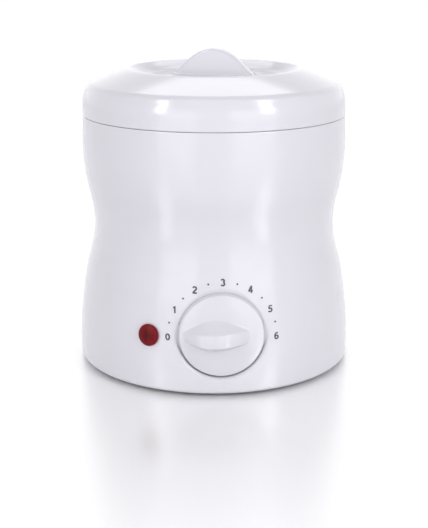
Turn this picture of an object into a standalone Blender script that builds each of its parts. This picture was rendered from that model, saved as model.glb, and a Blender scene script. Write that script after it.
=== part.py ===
"""Table-top wax warmer: a heated metal well in a waisted plastic housing, a lift-out pot, a lid and a dial.

Frame: +Z up, z = 0 is the table under the feet, the body's axis is the Z axis, and the dial faces -Y.
Lengths are written in millimetres and turned into metres by MM where a mesh is made.
"""

import math

import bmesh
import bpy
from mathutils import Matrix, Vector

MM = 0.001
GAP = 0.3  # clearance between pieces that touch
ROUND = 48  # sides of the large turned pieces
SMALL_ROUND = 16  # sides of pins, screws and bosses

# Driving dimensions, in millimetres.
HOUSING_BOTTOM = 1.5
HOUSING_TOP = 141.2
WALL = 2.5
# Heights and outer radii of the waisted wall: bulged foot, waist and shoulder.
WALL_KNOTS = (
    (2, 78.4),
    (10, 78.7),
    (25, 77.9),
    (40, 76.1),
    (55, 73.7),
    (66, 70.8),
    (79, 68.8),
    (92, 69.9),
    (106, 72.9),
    (122, 74.45),
    (141, 74.0),
)
MOUTH_RADIUS = 71.4
FLANGE_TOP = 136.0
FLANGE_RADIUS = 62.0

WELL_RADIUS = 57.5
WELL_BOTTOM = 54.0
WELL_FLANGE_TOP = 138.6
POT_RADIUS = 55.3
POT_BOTTOM = 56.0
BAIL_HEIGHT = 143.6
BAIL_RADIUS = 59.6
BAIL_WIRE = 1.25

LID_BOTTOM = 141.6
LID_RADIUS = 74.0
LID_SHOULDER = 157.2
LID_RIM = 166.7
LID_FLOOR = 159.9
FIN_TOP = 177.0
FIN_SPREAD = 33.0  # the fin's edge is z = FIN_TOP - x * x / FIN_SPREAD
FIN_THICKNESS = 7.5
LID_TURN = -17.6  # degrees, the way the lid was last put down

KNOB_HEIGHT = 33.8
KNOB_BACK = -73.2
KNOB_RADIUS = 23.4
KNOB_DEPTH = 5.6
GRIP_REACH = 13.1
GRIP_HALF_LENGTH = 16.5
GRIP_OFFSET = -3.5
DIAL_ZERO = 1.5  # degrees below the horizontal where the numeral 0 stands
SEAT_RADIUS = 24.0
SEAT_FLOOR = -72.6

LAMP_TURN = -29.7  # degrees round the body from the dial
LAMP_HEIGHT = 32.3
LAMP_RADIUS = 6.0

INLET_FACE = 86.5
INLET_TAIL = INLET_FACE - 34.0
TURRET_BACK = INLET_FACE - 2.5
TURRET_WIDTH = 40.0
TURRET_HEIGHT = 32.0
INLET_HEIGHT = 31.0

COVER_RADIUS = 72.3
COVER_BOTTOM = 2.2
COVER_THICKNESS = 2.2
COVER_SCREW_RADIUS = 66.0
FOOT_RADIUS = 58.0
WELL_SCREW_RADIUS = 65.2


def clear_scene():
    for item in list(bpy.data.objects):
        bpy.data.objects.remove(item, do_unlink=True)


def material(name, colour, roughness, metallic=0.0):
    """One Principled material, shared by every piece made of it."""
    found = bpy.data.materials.get(name)
    if found:
        return found
    made = bpy.data.materials.new(name)
    made.use_nodes = True
    shader = made.node_tree.nodes["Principled BSDF"]
    shader.inputs["Base Color"].default_value = (*colour, 1)
    shader.inputs["Roughness"].default_value = roughness
    shader.inputs["Metallic"].default_value = metallic
    return made


def white_plastic():
    return material("white_plastic", (0.82, 0.81, 0.85), 0.18)


def dark_plastic():
    return material("dark_plastic", (0.03, 0.03, 0.035), 0.4)


def red_plastic():
    return material("red_plastic", (0.30, 0.01, 0.02), 0.15)


def natural_nylon():
    return material("natural_nylon", (0.72, 0.70, 0.62), 0.45)


def aluminium():
    return material("aluminium", (0.78, 0.78, 0.79), 0.32, 1.0)


def zinc_steel():
    return material("zinc_steel", (0.62, 0.62, 0.63), 0.35, 1.0)


def stainless_wire():
    return material("stainless_wire", (0.70, 0.70, 0.71), 0.22, 1.0)


def copper():
    return material("copper", (0.75, 0.36, 0.22), 0.35, 1.0)


def brass():
    return material("brass", (0.80, 0.62, 0.30), 0.3, 1.0)


def mica():
    return material("mica", (0.45, 0.36, 0.25), 0.5)


def glass_felt():
    return material("glass_felt", (0.80, 0.78, 0.70), 0.95)


def silicone():
    return material("silicone", (0.55, 0.10, 0.07), 0.6)


def rubber():
    return material("rubber", (0.05, 0.05, 0.05), 0.85)


def finish(name, mesh_maker, piece_material):
    """Turn a bmesh in millimetres into a named object in metres, outward-facing and smooth-shaded."""
    bmesh.ops.remove_doubles(mesh_maker, verts=mesh_maker.verts, dist=0.001)
    bmesh.ops.recalc_face_normals(mesh_maker, faces=mesh_maker.faces)
    bmesh.ops.scale(mesh_maker, vec=(MM, MM, MM), verts=mesh_maker.verts)
    mesh = bpy.data.meshes.new(name)
    mesh_maker.to_mesh(mesh)
    mesh_maker.free()
    mesh.shade_smooth()
    mesh.set_sharp_from_angle(angle=math.radians(35))
    mesh.materials.append(piece_material)
    piece = bpy.data.objects.new(name, mesh)
    bpy.context.scene.collection.objects.link(piece)
    return piece


def turned(name, outline, piece_material, sides=ROUND, closed=True, sweep=360.0, start=0.0):
    """Spin an outline of (radius, height) round Z; one that starts and ends on the axis is not closed."""
    maker = bmesh.new()
    points = [maker.verts.new((radius, 0, height)) for radius, height in outline]
    for here, there in zip(points, points[1:]):
        maker.edges.new((here, there))
    if closed:
        maker.edges.new((points[-1], points[0]))
    whole = abs(sweep - 360.0) < 0.01
    if not whole:
        maker.faces.new(points)
    bmesh.ops.rotate(
        maker, verts=maker.verts, cent=(0, 0, 0), matrix=Matrix.Rotation(math.radians(start), 3, "Z")
    )
    bmesh.ops.spin(
        maker,
        geom=maker.verts[:] + maker.edges[:] + maker.faces[:],
        cent=(0, 0, 0),
        axis=(0, 0, 1),
        angle=math.radians(sweep),
        steps=sides,
        use_merge=whole,
    )
    return finish(name, maker, piece_material)


def block(name, size, centre, piece_material, bevel=0.0):
    """A box given by its size and centre, with its edges rounded where a bevel is given."""
    maker = bmesh.new()
    bmesh.ops.create_cube(maker, size=1.0)
    bmesh.ops.scale(maker, vec=size, verts=maker.verts)
    if bevel:
        bmesh.ops.bevel(
            maker, geom=maker.edges[:], offset=bevel, segments=2, profile=0.5, affect="EDGES", material=-1
        )
    bmesh.ops.translate(maker, vec=centre, verts=maker.verts)
    return finish(name, maker, piece_material)


def extruded(name, outline, depth, piece_material):
    """A flat outline of (x, z) points pushed from y = -depth / 2 to y = +depth / 2."""
    maker = bmesh.new()
    face = maker.faces.new([maker.verts.new((x, -depth / 2, z)) for x, z in outline])
    pushed = bmesh.ops.extrude_face_region(maker, geom=[face])
    moved = [item for item in pushed["geom"] if isinstance(item, bmesh.types.BMVert)]
    bmesh.ops.translate(maker, vec=(0, depth, 0), verts=moved)
    return finish(name, maker, piece_material)


def rod(name, radius, start, end, piece_material, sides=SMALL_ROUND):
    """A plain round bar between two points."""
    first, last = Vector(start), Vector(end)
    along = last - first
    maker = bmesh.new()
    bmesh.ops.create_cone(
        maker, cap_ends=True, segments=sides, radius1=radius, radius2=radius, depth=along.length
    )
    turn = along.to_track_quat("Z", "Y").to_matrix().to_4x4()
    bmesh.ops.transform(maker, matrix=Matrix.Translation((first + last) / 2) @ turn, verts=maker.verts)
    return finish(name, maker, piece_material)


def combine(target, tool, operation):
    """Join, cut or clip a piece with a guide solid, which is then left out of the model."""
    tool.hide_render = True
    tool.display_type = "WIRE"
    change = target.modifiers.new(f"{operation.lower()}_{tool.name}", "BOOLEAN")
    change.operation = operation
    change.solver = "EXACT"
    change.object = tool


def on_front(piece):
    """Stand a piece turned about Z on the dial's axis, its Z pointing out of the front wall."""
    piece.location = (0, KNOB_BACK * MM, KNOB_HEIGHT * MM)
    piece.rotation_euler = (math.pi / 2, 0, 0)
    return piece


def around(radius, degrees, height):
    """A point on a circle about the body's axis; 0 degrees is the dial's side and it grows towards +X."""
    angle = math.radians(degrees)
    return (radius * math.sin(angle), -radius * math.cos(angle), height)


def wall_radius(height):
    """Outer radius of the housing at a height, on a smooth curve through WALL_KNOTS."""
    index = 0
    while index < len(WALL_KNOTS) - 2 and WALL_KNOTS[index + 1][0] < height:
        index += 1
    (low, first), (high, last) = WALL_KNOTS[index], WALL_KNOTS[index + 1]

    def slope(knot):
        before = WALL_KNOTS[max(knot - 1, 0)]
        after = WALL_KNOTS[min(knot + 1, len(WALL_KNOTS) - 1)]
        return (after[1] - before[1]) / (after[0] - before[0])

    span = high - low
    t = (height - low) / span
    return (
        first * (2 * t**3 - 3 * t**2 + 1)
        + last * (3 * t**2 - 2 * t**3)
        + span * slope(index) * (t**3 - 2 * t**2 + t)
        + span * slope(index + 1) * (t**3 - t**2)
    )


def heights(low, high, count):
    return [low + (high - low) * step / (count - 1) for step in range(count)]


def housing_outer_outline():
    """The outside of the wall from its rounded foot to just under the rim."""
    foot = [(75.4, HOUSING_BOTTOM), (77.0, 1.9), (78.1, 3.0)]
    return foot + [(wall_radius(height), height) for height in heights(6.0, 140.6, 13)]


def make_housing():
    """The one-piece moulded body: waisted wall, inner flange, dial seat, screw bosses and inlet turret."""
    outer = housing_outer_outline()
    rim = [(73.5, HOUSING_TOP), (71.9, HOUSING_TOP), (MOUTH_RADIUS, HOUSING_TOP - 0.5)]
    flange = [
        (MOUTH_RADIUS, FLANGE_TOP),
        (FLANGE_RADIUS, FLANGE_TOP),
        (FLANGE_RADIUS, FLANGE_TOP - WALL),
    ]
    inner = [(wall_radius(height) - WALL, height) for height in heights(FLANGE_TOP - WALL, 6.0, 7)]
    foot = [(73.0, HOUSING_BOTTOM)]
    outline = outer + rim + flange + inner + foot
    housing = turned("outer_housing", outline, white_plastic(), start=180 / ROUND)

    cup_back = KNOB_BACK + 70.1  # the cup's back lies in the plane y = -70.1
    seat = on_front(
        turned(
            "seat_cup",
            [(0, cup_back), (SEAT_RADIUS + WALL, cup_back), (SEAT_RADIUS + WALL, 12), (0, 12)],
            white_plastic(),
            sides=40,
            closed=False,
        )
    )
    inside = [(0, HOUSING_BOTTOM)] + [(radius - 0.4, height) for radius, height in outer] + [(0, 140.6)]
    core = turned("seat_limit", inside, white_plastic(), closed=False)
    combine(seat, core, "INTERSECT")
    combine(housing, seat, "UNION")

    pocket_floor = KNOB_BACK - SEAT_FLOOR
    pocket = on_front(
        turned(
            "seat_pocket",
            [(0, pocket_floor), (SEAT_RADIUS, pocket_floor), (SEAT_RADIUS, 16), (0, 16)],
            white_plastic(),
            sides=40,
            closed=False,
        )
    )
    shaft_hole = rod("shaft_hole", 4.0, (0, -80, KNOB_HEIGHT), (0, -60, KNOB_HEIGHT), white_plastic())
    for number, boss_turn in enumerate((45, 135, 225, 315), start=1):
        centre = around(COVER_SCREW_RADIUS, boss_turn, 0)
        post = rod(
            f"cover_post_{number}",
            4.6,
            (centre[0], centre[1], 4.8),
            (centre[0], centre[1], 22.0),
            white_plastic(),
        )
        rib = block(f"post_rib_{number}", (3.0, 8.0, 16.6), (0, 0, 0), white_plastic())
        rib.location = Vector(around(COVER_SCREW_RADIUS + 6.2, boss_turn, 13.3)) * MM
        rib.rotation_euler = (0, 0, math.radians(boss_turn))
        pilot = rod(
            f"post_hole_{number}", 1.9, (centre[0], centre[1], 2), (centre[0], centre[1], 18), white_plastic()
        )
        combine(post, rib, "UNION")
        combine(post, pilot, "DIFFERENCE")
        combine(housing, post, "UNION")
    turret_depth = TURRET_BACK - 70.0
    turret = block(
        "inlet_turret",
        (TURRET_WIDTH, turret_depth, TURRET_HEIGHT),
        (0, TURRET_BACK - turret_depth / 2, INLET_HEIGHT),
        white_plastic(),
        bevel=2.0,
    )
    combine(housing, turret, "UNION")
    hollow_depth = TURRET_BACK - WALL - 66.0
    hollow = block(
        "turret_hollow",
        (TURRET_WIDTH - 2 * WALL, hollow_depth, TURRET_HEIGHT - 2 * WALL),
        (0, TURRET_BACK - WALL - hollow_depth / 2, INLET_HEIGHT),
        white_plastic(),
    )
    aperture = block("inlet_aperture", (27.6, 12.0, 20.1), (0, TURRET_BACK, INLET_HEIGHT), white_plastic())
    lamp_hole = rod("lamp_hole", 4.4, (0, 0, -12), (0, 0, 4), white_plastic())
    place_on_lamp_axis(lamp_hole)
    for tool in (pocket, shaft_hole, hollow, aperture, lamp_hole):
        combine(housing, tool, "DIFFERENCE")
    for number, side in enumerate((-1, 1), start=1):
        hole = rod(
            f"bracket_hole_{number}",
            1.8,
            (14.0 * side, -80, KNOB_HEIGHT),
            (14.0 * side, -60, KNOB_HEIGHT),
            white_plastic(),
        )
        combine(housing, hole, "DIFFERENCE")
    for number in range(4):
        top = around(WELL_SCREW_RADIUS, 45 + 90 * number, 0)
        screw_hole = rod(
            f"flange_hole_{number + 1}", 1.8, (top[0], top[1], 130), (top[0], top[1], 140), white_plastic()
        )
        combine(housing, screw_hole, "DIFFERENCE")


def lamp_axis():
    """Centre of the lamp on the wall and the wall's outward normal there."""
    rise = wall_radius(LAMP_HEIGHT + 1) - wall_radius(LAMP_HEIGHT - 1)
    tilt = math.atan2(-rise, 2.0)
    centre = Vector(around(wall_radius(LAMP_HEIGHT), LAMP_TURN, LAMP_HEIGHT))
    outward = Vector(around(math.cos(tilt), LAMP_TURN, math.sin(tilt)))
    return centre, outward


def place_on_lamp_axis(piece):
    centre, outward = lamp_axis()
    piece.location = centre * MM
    piece.rotation_euler = outward.to_track_quat("Z", "Y").to_euler()
    return piece


def make_lid():
    """The lid: a rolled band, a conical shoulder and a round dish crossed by a half-moon finger grip."""
    outside = [
        (70.9, LID_BOTTOM),
        (73.5, LID_BOTTOM),
        (LID_RADIUS, LID_BOTTOM + 0.6),
        (LID_RADIUS, 150.4),
        (73.4, 154.4),
        (72.3, LID_SHOULDER - 0.3),
        (70.8, LID_SHOULDER + 1.1),
        (62.0, 162.0),
        (54.0, 164.9),
        (49.5, 166.3),
        (47.5, LID_RIM),
        (46.0, 166.2),
        (44.8, 164.4),
        (43.9, 162.0),
        (42.5, 160.4),
        (40.0, LID_FLOOR),
        (0, LID_FLOOR),
    ]
    under = [
        (0, 157.4),
        (42.0, 157.4),
        (44.6, 158.0),
        (46.2, 159.8),
        (47.6, 163.0),
        (49.4, 163.7),
        (60.0, 160.1),
        (69.4, 155.8),
        (71.1, 153.0),
        (71.3, 147.0),
        (69.3, 143.6),
        (69.3, 138.8),
        (69.7, 138.4),
        (70.5, 138.4),
        (70.9, 138.8),
    ]
    lid = turned("lid", under + outside, white_plastic(), closed=False)
    foot = math.sqrt((FIN_TOP - LID_FLOOR + 1.2) * FIN_SPREAD)
    count = 15
    edge = []
    for step in range(count):
        x = -foot + 2 * foot * step / (count - 1)
        edge.append((x, FIN_TOP - x * x / FIN_SPREAD))
    fin = extruded("lid_fin", edge, FIN_THICKNESS, white_plastic())
    soften = fin.modifiers.new("soften", "BEVEL")
    soften.width = 1.0 * MM
    soften.segments = 2
    soften.limit_method = "ANGLE"
    soften.angle_limit = math.radians(50)
    combine(lid, fin, "UNION")
    for piece in (lid, fin):
        piece.rotation_euler = (0, 0, math.radians(LID_TURN))


def make_well():
    """The fixed heated well with its flange, the seal under the flange and the four screws that hold it."""
    well = turned(
        "heating_well",
        [
            (0, WELL_BOTTOM),
            (53.5, WELL_BOTTOM),
            (56.6, 55.3),
            (WELL_RADIUS, 58.0),
            (WELL_RADIUS, 137.4),
            (68.4, 137.4),
            (68.4, WELL_FLANGE_TOP),
            (57.0, WELL_FLANGE_TOP),
            (56.3, 137.9),
            (56.3, 58.3),
            (55.4, 56.4),
            (53.3, 55.5),
            (0, 55.5),
        ],
        aluminium(),
        sides=40,
        closed=False,
    )
    gasket = turned(
        "well_gasket",
        [(62.6, FLANGE_TOP + GAP), (68.4, FLANGE_TOP + GAP), (68.4, 137.1), (62.6, 137.1)],
        silicone(),
        sides=40,
    )
    for number in range(4):
        x, y, _ = around(WELL_SCREW_RADIUS, 45 + 90 * number, 0)
        hole = rod(f"well_hole_{number + 1}", 1.8, (x, y, 134), (x, y, 142), aluminium())
        combine(well, hole, "DIFFERENCE")
        combine(gasket, hole, "DIFFERENCE")
        screw(f"well_screw_{number + 1}", (x, y, WELL_FLANGE_TOP + GAP), (0, 0, 1), 2.8, 1.5, 1.45, 9.0)


def screw(name, seat, outward, head_radius, head_height, shank_radius, length):
    """A pan-head screw: its head's under side at the seat, the head outwards and the shank inwards."""
    piece = turned(
        name,
        [
            (0, -length),
            (shank_radius * 0.6, -length),
            (shank_radius, -length + 1.2),
            (shank_radius, 0),
            (head_radius, 0),
            (head_radius, head_height * 0.55),
            (head_radius * 0.72, head_height),
            (0, head_height),
        ],
        zinc_steel(),
        sides=10,
        closed=False,
    )
    slot = block(f"{name}_slot", (head_radius * 1.5, 0.7, 0.9), (0, 0, head_height), zinc_steel())
    turn = Vector(outward).to_track_quat("Z", "Y").to_euler()
    for item in (piece, slot):
        item.location = Vector(seat) * MM
        item.rotation_euler = turn
    combine(piece, slot, "DIFFERENCE")
    return piece


def make_pot():
    """The lift-out aluminium pot, its two bail ears and the wire bail folded back along the rim."""
    turned(
        "inner_pot",
        [
            (0, POT_BOTTOM),
            (51.5, POT_BOTTOM),
            (54.4, 57.2),
            (POT_RADIUS, 60.0),
            (POT_RADIUS, 138.0),
            (56.2, 138.9),
            (60.6, 138.9),
            (61.3, 139.6),
            (61.3, 141.2),
            (60.7, 141.8),
            (60.0, 141.2),
            (60.0, 140.1),
            (55.6, 140.1),
            (54.4, 139.4),
            (54.1, 138.0),
            (54.1, 60.6),
            (53.3, 58.4),
            (51.2, 57.2),
            (0, 57.2),
        ],
        aluminium(),
        sides=40,
        closed=False,
    )
    for side, label in ((-1, "left"), (1, "right")):
        plate = block(f"bail_ear_{label}", (1.0, 7.0, 6.2), (57.4 * side, 0, 143.5), zinc_steel())
        base = block(f"ear_base_{label}", (3.0, 7.0, 0.9), (57.6 * side, 0, 140.85), zinc_steel())
        hole = rod(
            f"ear_hole_{label}", 1.6, (54 * side, 0, BAIL_HEIGHT), (62 * side, 0, BAIL_HEIGHT), zinc_steel()
        )
        combine(plate, base, "UNION")
        combine(plate, hole, "DIFFERENCE")
    bail = tube("pot_bail", bail_route(), BAIL_WIRE, stainless_wire(), resolution=1)
    hinge = bpy.data.objects.new("bail_hinge", None)
    hinge.location = (0, 0, BAIL_HEIGHT * MM)
    bpy.context.scene.collection.objects.link(hinge)
    bail.parent = hinge
    bail.location = (0, 0, -BAIL_HEIGHT * MM)


def bail_route():
    """The bail's centre line: a stub through one ear, the half ring round the back and the other stub."""
    stub = 4.2
    count = 25
    ring = []
    for step in range(count):
        angle = math.pi * step / (count - 1)
        ring.append((BAIL_RADIUS * math.cos(angle), BAIL_RADIUS * math.sin(angle), BAIL_HEIGHT))
    first = (BAIL_RADIUS - stub, 0, BAIL_HEIGHT)
    last = (stub - BAIL_RADIUS, 0, BAIL_HEIGHT)
    return [first] + ring + [last]


def tube(name, points, radius, piece_material, resolution=1):
    """A round wire or tube along a chain of points, with closed ends."""
    curve = bpy.data.curves.new(name, "CURVE")
    curve.dimensions = "3D"
    curve.bevel_depth = radius * MM
    curve.bevel_resolution = resolution
    curve.use_fill_caps = True
    line = curve.splines.new("POLY")
    line.points.add(len(points) - 1)
    for point, place in zip(line.points, points):
        point.co = (place[0] * MM, place[1] * MM, place[2] * MM, 1)
    curve.materials.append(piece_material)
    piece = bpy.data.objects.new(name, curve)
    bpy.context.scene.collection.objects.link(piece)
    return piece


def eased_route(stops, per_span=4):
    """Points on a smooth curve through the stops of a bent wire."""
    points = []
    ends = [stops[0]] + list(stops) + [stops[-1]]
    for before, here, there, after in zip(ends, ends[1:], ends[2:], ends[3:]):
        p0, p1, p2, p3 = (Vector(stop) for stop in (before, here, there, after))
        for step in range(per_span):
            t = step / per_span
            points.append(
                0.5
                * (
                    2 * p1
                    + (p2 - p0) * t
                    + (2 * p0 - 5 * p1 + 4 * p2 - p3) * t**2
                    + (3 * p1 - 3 * p2 + p3 - p0) * t**3
                )
            )
    points.append(Vector(stops[-1]))
    return points


def make_heater():
    """The mica band heater, the strap and screw that clamp it round the well, and the felt wrap outside."""
    turned(
        "band_heater",
        [(57.9, 62.0), (59.4, 62.0), (59.4, 98.0), (57.9, 98.0)],
        mica(),
        sides=34,
        sweep=344.0,
        start=98.0,
    )
    strap = turned(
        "heater_clamp",
        [(59.8, 75.0), (60.5, 75.0), (60.5, 85.0), (59.8, 85.0)],
        zinc_steel(),
        sides=34,
        sweep=344.0,
        start=98.0,
    )
    for number, side in enumerate((-1, 1), start=1):
        ear = block(f"clamp_ear_{number}", (1.2, 4.6, 10.0), (0, 0, 0), zinc_steel())
        ear.location = Vector((8.4 * side, 61.6, 80.0)) * MM
        hole = rod(f"clamp_hole_{number}", 1.8, (5 * side, 62.3, 80), (12 * side, 62.3, 80), zinc_steel())
        combine(strap, ear, "UNION")
        combine(strap, hole, "DIFFERENCE")
    screw("clamp_screw", (9.3, 62.3, 80.0), (1, 0, 0), 1.7, 1.3, 1.3, 20.5)
    turned(
        "insulation_wrap",
        [(61.2, 60.0), (65.4, 60.0), (65.4, 118.0), (61.2, 118.0)],
        glass_felt(),
        sides=32,
        sweep=324.0,
        start=108.0,
    )


def make_dial():
    """The knob, the clip in its hub and the thermostat's shaft, all on one axis through the front wall."""
    shell = [
        (3.4, 0),
        (5.6, 0),
        (5.6, 2.9),
        (17.0, 2.6),
        (20.6, 1.8),
        (21.8, 0),
        (KNOB_RADIUS, 0),
        (KNOB_RADIUS - 0.1, 0.6),
        (22.4, 3.2),
        (21.9, 3.7),
        (21.0, 4.1),
        (16.0, 4.9),
        (9.0, 5.4),
        (3.4, KNOB_DEPTH),
    ]
    knob = on_front(turned("knob", shell, white_plastic(), sides=44))
    grip = on_front(grip_solid())
    grip.rotation_euler = (math.pi / 2, math.radians(-DIAL_ZERO), 0)
    knob.rotation_euler = grip.rotation_euler
    bore_ends = ((0, KNOB_BACK + 1, KNOB_HEIGHT), (0, KNOB_BACK - 10, KNOB_HEIGHT))
    bore = rod("knob_bore", 3.4, *bore_ends, white_plastic())
    combine(knob, grip, "UNION")
    combine(knob, bore, "DIFFERENCE")
    on_front(
        turned(
            "knob_clip",
            [(5.9, 0.5), (6.5, 0.5), (6.5, 2.0), (5.9, 2.0)],
            zinc_steel(),
            sides=20,
            sweep=300.0,
            start=120.0,
        )
    )
    shaft = on_front(rod("thermostat_shaft", 3.0, (0, 0, -8.6), (0, 0, 9.4), zinc_steel()))
    flat = on_front(block("shaft_flat", (8, 3, 12), (0, 3.2, 8.4), zinc_steel()))
    combine(shaft, flat, "DIFFERENCE")


def grip_solid():
    """The finger grip: a crest arched along its length, with flanks that lean out to the knob's face."""
    crest_half_width = 3.5
    lean = 0.68
    root = 3.4
    count = 13
    maker = bmesh.new()
    rows = []
    for step in range(count):
        part = -1 + 2 * step / (count - 1)
        x = GRIP_OFFSET + GRIP_HALF_LENGTH * part
        crest = 4.2 + (GRIP_REACH - 4.2) * (1 - part * part)
        spread = crest_half_width + lean * (crest - root)
        row = [
            (x, -spread, root),
            (x, -crest_half_width, crest),
            (x, 0, crest + 0.25),
            (x, crest_half_width, crest),
            (x, spread, root),
        ]
        rows.append([maker.verts.new(place) for place in row])
    for row, following in zip(rows, rows[1:]):
        for index in range(len(row)):
            beside = (index + 1) % len(row)
            maker.faces.new((row[index], following[index], following[beside], row[beside]))
    maker.faces.new(rows[0])
    maker.faces.new(rows[-1])
    return finish("knob_grip", maker, white_plastic())


def make_thermostat():
    """The capillary thermostat behind the dial, its bracket and screws, and the bulb under the well."""
    front_y = -69.8
    bracket = block(
        "thermostat_bracket", (36.0, 1.2, 20.0), (0, front_y + 0.6, KNOB_HEIGHT), zinc_steel()
    )
    body = rod(
        "thermostat_body", 13.0, (0, front_y + 1.5, KNOB_HEIGHT), (0, front_y + 18, KNOB_HEIGHT), dark_plastic()
    )
    hole = rod("bracket_bore", 4.0, (0, -75, KNOB_HEIGHT), (0, -67.5, KNOB_HEIGHT), zinc_steel())
    bore = rod("body_bore", 3.5, (0, -75, KNOB_HEIGHT), (0, -64, KNOB_HEIGHT), zinc_steel())
    combine(bracket, hole, "DIFFERENCE")
    combine(body, bore, "DIFFERENCE")
    for number, side in enumerate((-1, 1), start=1):
        place = (14.0 * side, SEAT_FLOOR - GAP, KNOB_HEIGHT)
        screw(f"thermostat_screw_{number}", place, (0, -1, 0), 2.4, 1.3, 1.35, 6.4)
        way = rod(
            f"screw_way_{number}",
            1.75,
            (14.0 * side, -75, KNOB_HEIGHT),
            (14.0 * side, -60, KNOB_HEIGHT),
            zinc_steel(),
        )
        combine(bracket, way, "DIFFERENCE")
        combine(body, way, "DIFFERENCE")
    for number, place in enumerate(((-6.0, -6.0), (6.0, -6.0)), start=1):
        block(
            f"thermostat_tab_{number}",
            (6.3, 9.0, 0.8),
            (place[0], front_y + 18.0 + 4.8, KNOB_HEIGHT + place[1]),
            brass(),
        )
    rod("sensor_bulb", 2.4, (-22, -10, 50.9), (24, -10, 50.9), copper(), sides=16)
    saddle("bulb_clip", (6, -10, 50.9), 2.4)
    rod("thermal_fuse", 2.0, (-8, 18, 51.2), (6, 18, 51.2), zinc_steel(), sides=16)
    saddle("fuse_clip", (-1, 18, 51.2), 2.0)
    route = eased_route(
        [
            (-22.4, -10, 50.9),
            (-28, -10, 50.6),
            (-38, -14, 47),
            (-40, -26, 43),
            (-30, -38, 41),
            (-14, -44, 40),
            (-4, -47, 39.5),
            (-1.0, -51.4, 39.3),
        ]
    )
    tube("capillary_tube", route, 0.8, copper())


def saddle(name, centre, radius):
    """A bent strip that holds a round piece up against the under side of the well."""
    inner = radius + GAP
    outer = inner + 0.7
    top = WELL_BOTTOM - GAP
    x, y, z = centre
    outline = [(outer + 5.0, top - 0.7), (outer + 5.0, top), (inner, top)]
    for step in range(9):
        angle = math.pi * step / 8
        outline.append((inner * math.cos(angle), z - inner * math.sin(angle)))
    outline += [(-inner, top), (-outer - 5.0, top), (-outer - 5.0, top - 0.7), (-outer, top - 0.7)]
    for step in range(9):
        angle = math.pi - math.pi * step / 8
        outline.append((outer * math.cos(angle), z - outer * math.sin(angle)))
    outline.append((outer, top - 0.7))
    piece = extruded(name, outline, 8.0, zinc_steel())
    piece.rotation_euler = (0, 0, math.pi / 2)
    piece.location = (x * MM, y * MM, 0)
    return piece


def make_lamp():
    """The red neon lamp: domed lens through the wall, push-on ring and the lamp capsule behind it."""
    place_on_lamp_axis(
        turned(
            "lamp_lens",
            [
                (0, -9.0),
                (4.0, -9.0),
                (4.0, 0.5),
                (LAMP_RADIUS, 0.5),
                (LAMP_RADIUS, 1.1),
                (5.3, 1.9),
                (3.4, 2.5),
                (0, 2.8),
            ],
            red_plastic(),
            sides=32,
            closed=False,
        )
    )
    place_on_lamp_axis(
        turned(
            "lamp_ring",
            [(4.3, -4.4), (7.0, -4.4), (7.0, -3.4), (4.3, -3.4)],
            zinc_steel(),
            sides=24,
        )
    )
    place_on_lamp_axis(
        turned(
            "lamp_capsule",
            [(0, -22.0), (3.6, -22.0), (4.4, -21.0), (4.4, -9.4), (0, -9.4)],
            natural_nylon(),
            sides=24,
            closed=False,
        )
    )


def make_inlet():
    """The three-pin appliance inlet in the back of the turret."""
    face = INLET_FACE
    flange_back = TURRET_BACK + GAP
    body = block("inlet_body", (27.0, 24.0, 19.5), (0, face - 12.2, INLET_HEIGHT), dark_plastic())
    flange = block(
        "inlet_flange",
        (31.0, face - flange_back, 24.0),
        (0, (face + flange_back) / 2, INLET_HEIGHT),
        dark_plastic(),
        bevel=0.6,
    )
    half_width, half_height, corner = 12.2, 8.4, 4.6
    outline = [
        (-half_width, -half_height),
        (half_width, -half_height),
        (half_width, half_height - corner),
        (half_width - corner, half_height),
        (corner - half_width, half_height),
        (-half_width, half_height - corner),
    ]
    socket = extruded("inlet_socket", outline, 34.0, dark_plastic())
    socket.location = Vector((0, face, INLET_HEIGHT)) * MM
    combine(body, flange, "UNION")
    combine(body, socket, "DIFFERENCE")
    pins = (("live", -7.0, -2.0, 0.0), ("neutral", 7.0, -2.0, 0.0), ("earth", 0, 2.5, 1.5))
    for label, x, z, length in pins:
        tip = face - 3.5 + length
        block(
            f"inlet_pin_{label}",
            (2.0, tip - INLET_TAIL, 4.0),
            (x, (tip + INLET_TAIL) / 2, INLET_HEIGHT + z),
            brass(),
            bevel=0.4,
        )
        slot = block(
            f"pin_slot_{label}",
            (2.0 + 2 * GAP, 30.0, 4.0 + 2 * GAP),
            (x, face - 26.0, INLET_HEIGHT + z),
            dark_plastic(),
        )
        combine(body, slot, "DIFFERENCE")


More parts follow.
